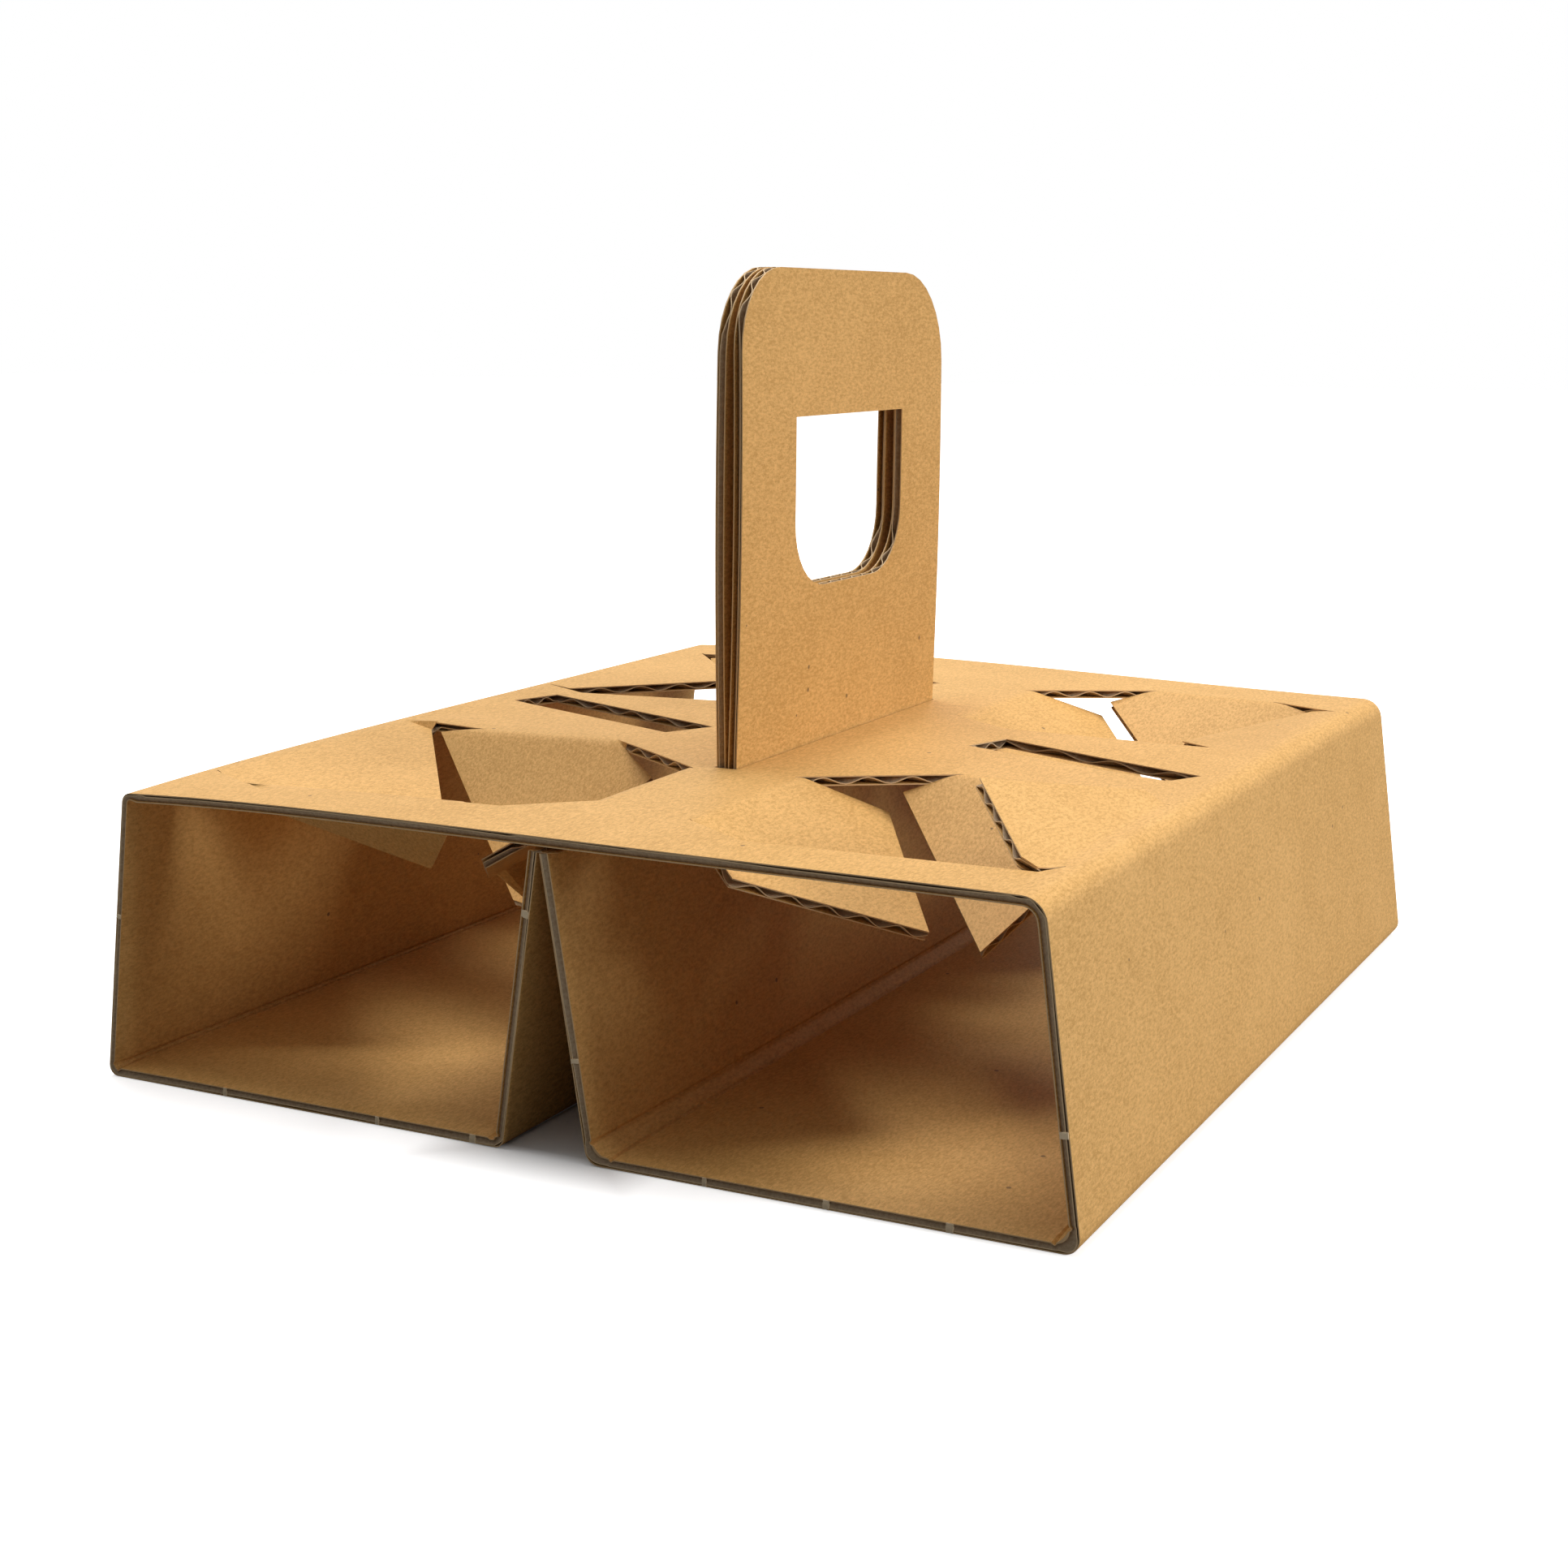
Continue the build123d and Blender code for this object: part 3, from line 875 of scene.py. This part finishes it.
def paper_finish(name, pale, dark, edge, roughness, grain_size, speck_amount, bump):
    """A paper finish: colours run from dark to pale with the fibres, edge is the cut colour."""
    finish = bpy.data.materials.new(name)
    finish.use_nodes = True
    tree = finish.node_tree
    shader = tree.nodes["Principled BSDF"]
    pattern = node(tree, "ShaderNodeGroup", node_tree=fibres, inputs={
        "Grain": grain_size, "Specks": speck_amount})
    spread_tone = node(tree, "ShaderNodeMapRange", inputs={
        "Value": pattern.outputs["Tone"], "From Min": 0.38, "From Max": 0.62})
    face = mix_colours(tree, spread_tone.outputs[0], (*dark, 1), (*pale, 1))
    specked = mix_colours(tree, pattern.outputs["Speck"], face, speck_brown)
    cut = node(tree, "ShaderNodeAttribute", attribute_name="cut_edge")
    final = mix_colours(tree, cut.outputs["Fac"], specked, (*edge, 1))
    tree.links.new(final, shader.inputs["Base Color"])
    shader.inputs["Roughness"].default_value = roughness
    shader.inputs["Specular IOR Level"].default_value = 0.35
    relief = node(tree, "ShaderNodeBump", inputs={"Strength": bump, "Distance": 0.0002})
    tree.links.new(pattern.outputs["Height"], relief.inputs["Height"])
    tree.links.new(relief.outputs[0], shader.inputs["Normal"])
    print("Finish:", name)
    return finish


# The edge colours are painted light: paler than the faces, for the front light that the cut edges lack.
kraft = paper_finish(
    "Kraft liner", pale=(0.757, 0.440, 0.151), dark=(0.535, 0.290, 0.078), edge=(0.74, 0.50, 0.26),
    roughness=0.62, grain_size=1600.0, speck_amount=0.7, bump=0.3)
flute_brown = paper_finish(
    "Flute paper", pale=(0.52, 0.385, 0.245), dark=(0.40, 0.28, 0.17), edge=(0.80, 0.58, 0.34),
    roughness=0.8, grain_size=1200.0, speck_amount=0.3, bump=0.3)

# %% [markdown]
# ## Making the three papers
# Each paper goes through the tree at its own level in the board, and is then folded. All
# three stand for the one CAD solid, which stays in the physics model for collision. At the
# open ends the knife has pressed the last flute shut, which the flute paper shows as a wall.

# %% Press the flutes at the open ends, fold a paper and hand it over
half_wave = board - 2 * liner_paper - flute_thickness
press_depth, tuck_depth = flute_pitch / 20, flute_pitch / 7
ragged_pace, ragged_drift = 0.9, 0.23        # how fast the pressed wall's height changes along s


def close_ends(mesh):
    """Presses the flute paper into a ragged wall just inside both open ends."""
    co = points_of(mesh)
    depth = half_depth - np.abs(co[:, 1])
    ragged = 0.5 + 0.5 * np.sin(co[:, 0] * ragged_pace + 2.0 * np.sin(co[:, 0] * ragged_drift))
    wave = half_wave / 2 * np.sin(2 * math.pi * co[:, 1] / flute_pitch)
    mouth, behind = depth < press_depth, (depth > press_depth) & (depth < tuck_depth)
    co[mouth, 2] += (half_wave / 2 * (0.5 + 0.5 * ragged) - wave)[mouth]
    co[behind, 2] += (-half_wave / 2 - wave)[behind]
    mesh.vertices.foreach_set("co", co.ravel())


def make_paper(name, flat, values, finish, tree=paper_tree):
    """One paper piece: its tree run on the flat mesh, folded, and riding on the body."""
    mesh = run_tree(flat, tree, {**values, "Material": finish}, name)
    if values.get("Wave height"):
        close_ends(mesh)
    fold_mesh(mesh)
    piece = bpy.data.objects.new(name, mesh)
    bpy.context.scene.collection.objects.link(piece)
    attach(piece, "root")
    return piece


print("Half of the flutes' wave:", round(half_wave / 2, 2), "mm")

# %% Liners and flutes
outer = make_paper("outer_liner", liner_mesh, {"Level": -liner_paper, "Thickness": liner_paper}, kraft)
make_paper("inner_liner", liner_mesh, {"Level": -board, "Thickness": liner_paper}, kraft)
wave_facets = 8                              # facets that round one wave of the flutes
wave_rows = spread(-half_depth, half_depth, flute_pitch / wave_facets)
flute_columns = sheet_columns(flat_step=60.0, top_step=18.0, across_groove=(-1.5, 0.0, 1.5))
flute_mesh = flat_sheet(flute_columns, wave_rows, "flute_flat")
make_paper("flute_paper", flute_mesh, {
    "Level": -board / 2 - flute_thickness / 2, "Wave height": half_wave,
    "Wave pitch": flute_pitch, "Thickness": flute_thickness}, flute_brown)
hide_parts("carrier")

# %% [markdown]
# ## Torn nicks
# The die leaves small uncut nicks that hold the blank in its sheet of waste. Each tears into
# a pale tuft of paper on the cut edge. Points along both open ends carry one tuft each, with
# its own size, and the tufts are folded with the board, so they stay in the edge.

# %% The nick tree
nick_tree = new_tree("Torn nicks", [
    ("Width", "NodeSocketFloat", 1.5), ("Reach", "NodeSocketFloat", 0.5),
    ("Thickness", "NodeSocketFloat", board), ("Seed", "NodeSocketInt", 4),
    ("Material", "NodeSocketMaterial", None)])
given = node(nick_tree, "NodeGroupInput").outputs
tuft_size = node(nick_tree, "ShaderNodeCombineXYZ", inputs={
    "X": given["Width"], "Y": given["Reach"], "Z": given["Thickness"]})
tuft = node(nick_tree, "GeometryNodeMeshCube", inputs={
    "Size": tuft_size.outputs[0], "Vertices X": 5, "Vertices Y": 3, "Vertices Z": 7})
ragged = node(nick_tree, "FunctionNodeRandomValue", data_type="FLOAT_VECTOR", inputs={
    0: (-0.12, -0.04, -0.05), 1: (0.12, 0.04, 0.05), "Seed": given["Seed"]})
torn = node(nick_tree, "GeometryNodeSetPosition", inputs={
    "Geometry": tuft.outputs["Mesh"], "Offset": ragged.outputs[0]})
sizes = node(nick_tree, "FunctionNodeRandomValue", data_type="FLOAT_VECTOR", inputs={
    0: (0.6, 0.8, 0.75), 1: (1.2, 1.0, 0.95), "Seed": given["Seed"]})
tufts = node(nick_tree, "GeometryNodeInstanceOnPoints", inputs={
    "Points": given["Geometry"], "Instance": torn.outputs[0], "Scale": sizes.outputs[0]})
loose = node(nick_tree, "GeometryNodeRealizeInstances", inputs={"Geometry": tufts.outputs[0]})
pale_cut = node(nick_tree, "GeometryNodeStoreNamedAttribute", data_type="FLOAT", domain="FACE",
                inputs={"Geometry": loose.outputs[0], "Name": "cut_edge", "Value": 1.0})
finish_tree(nick_tree, pale_cut.outputs[0], given["Material"])

# %% Where the nicks are: runs in millimetres from the end of a fold
nick_runs = [(0, 14.0), (1, 5.0), (1, 31.0), (1, 75.0), (2, 38.0),
             (4, 42.0), (5, 24.0), (5, 51.5), (5, 80.0), (6, 20.0)]
nick_points = [(folds[fold][1] + run, side * half_depth, -board / 2)
               for fold, run in nick_runs for side in (-1, 1)]
nick_mesh = bpy.data.meshes.new("nick_points")
nick_mesh.from_pydata(nick_points, [], [])
nick_paper = paper_finish(
    "Torn paper", pale=(0.86, 0.67, 0.43), dark=(0.74, 0.56, 0.35), edge=(0.90, 0.72, 0.48),
    roughness=0.85, grain_size=1500.0, speck_amount=0.0, bump=0.5)
make_paper("torn_nicks", nick_mesh, {}, nick_paper, nick_tree)
print("Nicks:", len(nick_points))

# %% [markdown]
# ## Floor
# The carrier stands on a white floor that keeps its shadow. The floor looks white to the
# camera only, because more light on the board would wash out its colour. Its glow leaves out
# the strip between the tubes, where the real floor is in deep shadow.

# %% Floor
floor_size = 6.0
floor_level = -0.0002                        # a hair below the board, so the two never flicker
floor_mesh = bpy.data.meshes.new("floor")
floor_mesh.from_pydata([(x * floor_size, y * floor_size, floor_level)
                        for x, y in ((-1, -1), (1, -1), (1, 1), (-1, 1))], [], [(0, 1, 2, 3)])
floor = bpy.data.objects.new("floor", floor_mesh)
bpy.context.scene.collection.objects.link(floor)
floor_finish = bpy.data.materials.new("White floor")
floor_finish.use_nodes = True
floor_mesh.materials.append(floor_finish)
print("Floor:", 2 * floor_size, "m square")

# %% What the floor shows to the camera
lit_floor, seen_floor = (0.28, 0.28, 0.28, 1), (0.9, 0.9, 0.9, 1)
tree = floor_finish.node_tree
shader = tree.nodes["Principled BSDF"]
shader.inputs["Roughness"].default_value = 0.9
shader.inputs["Specular IOR Level"].default_value = 0.0
seen = node(tree, "ShaderNodeLightPath")
floor_white = mix_colours(tree, seen.outputs["Is Camera Ray"], lit_floor, seen_floor)
tree.links.new(floor_white, shader.inputs["Base Color"])
where = node(tree, "ShaderNodeTexCoord").outputs["Object"]
away = node(tree, "ShaderNodeVectorMath", operation="LENGTH", inputs={0: where})
# Painted light: the glow is 0.58 near the carrier, where it thins the carrier's rendered shadow, and grows to
# full white far off.
level = node(tree, "ShaderNodeMapRange", inputs={
    "Value": away.outputs["Value"], "From Min": 0.15, "From Max": 0.6, "To Min": 0.58, "To Max": 1.05})
across = node(tree, "ShaderNodeSeparateXYZ", inputs={"Vector": where})
beside = node(tree, "ShaderNodeMapRange", inputs={
    "Value": math_node(tree, "ABSOLUTE", across.outputs["X"]), "From Min": 0.012, "From Max": 0.03})
past_ends = node(tree, "ShaderNodeMapRange", inputs={
    "Value": math_node(tree, "ABSOLUTE", across.outputs["Y"]), "From Min": 0.134, "From Max": 0.152})
open_floor = math_node(tree, "MAXIMUM", beside.outputs[0], past_ends.outputs[0])
glow = math_node(tree, "MULTIPLY", seen.outputs["Is Camera Ray"],
                 math_node(tree, "MULTIPLY", level.outputs[0], open_floor))
shader.inputs["Emission Color"].default_value = (1, 1, 1, 1)
tree.links.new(glow, shader.inputs["Emission Strength"])
print("Floor finish:", len(tree.nodes), "nodes")

# %% [markdown]
# ## Light and camera
# The real carrier stands in soft light, from above and from its right. A bright world would
# be the simplest, but it would fill the tubes with light too. So a faint sky lights the board
# from above only, and two square lamps do the rest. The camera's place and lens were worked
# out from the carrier's corners and straight edges in the photograph.

# %% World
sky_strength = 0.32
world = bpy.data.worlds.new("studio")
bpy.context.scene.world = world
world.use_nodes = True
tree = world.node_tree
background = tree.nodes["Background"]
seen = node(tree, "ShaderNodeLightPath").outputs
shown = math_node(tree, "MAXIMUM", seen["Is Camera Ray"], seen["Is Glossy Ray"])
shown = math_node(tree, "MAXIMUM", shown, seen["Is Transmission Ray"])
upward = node(tree, "ShaderNodeTexCoord").outputs["Generated"]
direction = node(tree, "ShaderNodeSeparateXYZ", inputs={"Vector": upward})
sky = node(tree, "ShaderNodeMapRange", inputs={
    "Value": direction.outputs["Z"], "From Min": 0.1, "From Max": 0.8, "To Min": 0.0, "To Max": sky_strength})
strength = node(tree, "ShaderNodeMix", data_type="FLOAT", inputs={0: shown, 2: sky.outputs[0], 3: 1.0})
tree.links.new(strength.outputs[0], background.inputs["Strength"])
background.inputs["Color"].default_value = (1, 1, 1, 1)
print("The sky lights the board at", sky_strength, "from above and shows white")


# %% Lamps
def lamp(name, place, aim, size, watts):
    """A square lamp at a place, turned to its aim."""
    data = bpy.data.lights.new(name, "AREA")
    data.shape = "SQUARE"
    data.size = size
    data.energy = watts
    made = bpy.data.objects.new(name, data)
    made.location = place
    made.rotation_mode = "QUATERNION"
    made.rotation_quaternion = (Vector(aim) - Vector(place)).to_track_quat("-Z", "Y")
    bpy.context.scene.collection.objects.link(made)
    print("Lamp", name, "at", watts, "W")


lamp("overhead", place=(-0.15, 0.25, 1.5), aim=(0, 0, 0.05), size=1.0, watts=20.5)
lamp("right", place=(1.5, 0.15, 0.6), aim=(0.1, 0, 0.05), size=0.8, watts=16)

# %% Camera
camera_data = bpy.data.cameras.new("camera")
camera_data.sensor_width = 36.0
camera_data.lens = 53.5
camera_data.clip_start, camera_data.clip_end = 0.01, 50.0
camera = bpy.data.objects.new("camera", camera_data)
camera.location = (0.2666, -0.5440, 0.1784)
look = Vector((-0.4461, 0.8737, -0.1941))
camera.rotation_mode = "QUATERNION"
camera.rotation_quaternion = look.to_track_quat("-Z", "Y")
bpy.context.scene.collection.objects.link(camera)
bpy.context.scene.camera = camera
bpy.context.scene.view_settings.view_transform = "Standard"
print("Camera:", round(camera.location.length, 3), "m from the carrier's middle")
